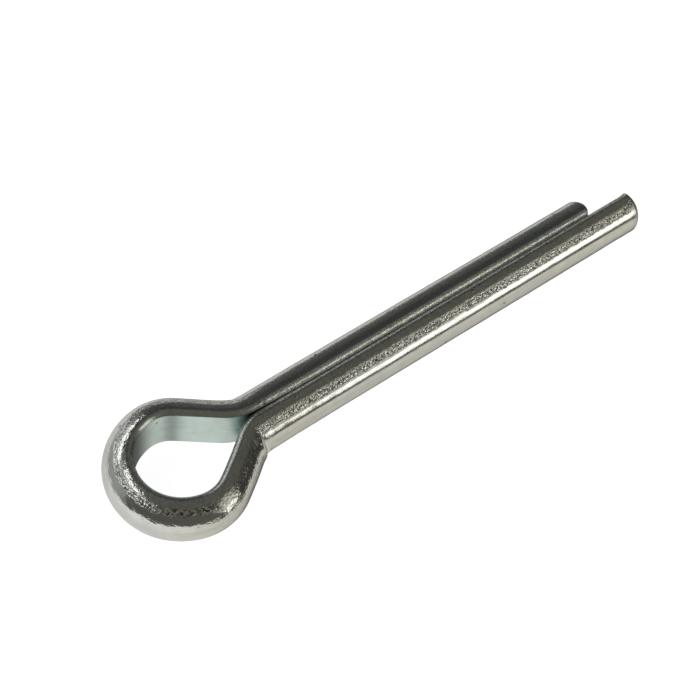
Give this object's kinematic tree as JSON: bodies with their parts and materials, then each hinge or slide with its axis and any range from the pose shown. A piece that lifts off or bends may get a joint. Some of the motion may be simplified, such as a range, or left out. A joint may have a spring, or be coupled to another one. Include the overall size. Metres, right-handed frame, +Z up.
{
  "type": "cotter pin",
  "caption": "Zinc-plated half-round steel wire folded into an eye with its legs closed into a round shank, one leg longer; locks a pin or castle nut through a drilled hole.",
  "frame": {"origin": "on the shank's axis, where the two straight legs start behind the eye, halfway up the wire", "axes": "+X along the shank towards the tips, +Y towards the short leg, +Z up with the pin lying flat"},
  "size_m": [0.0748, 0.0172, 0.0068],
  "materials": {
    "zinc_plated_steel": "bright zinc plate over drawn wire, lightly grained"
  },
  "bodies": {
    "root": {"cotter_pin": "zinc_plated_steel"}
  },
  "joints": []
}
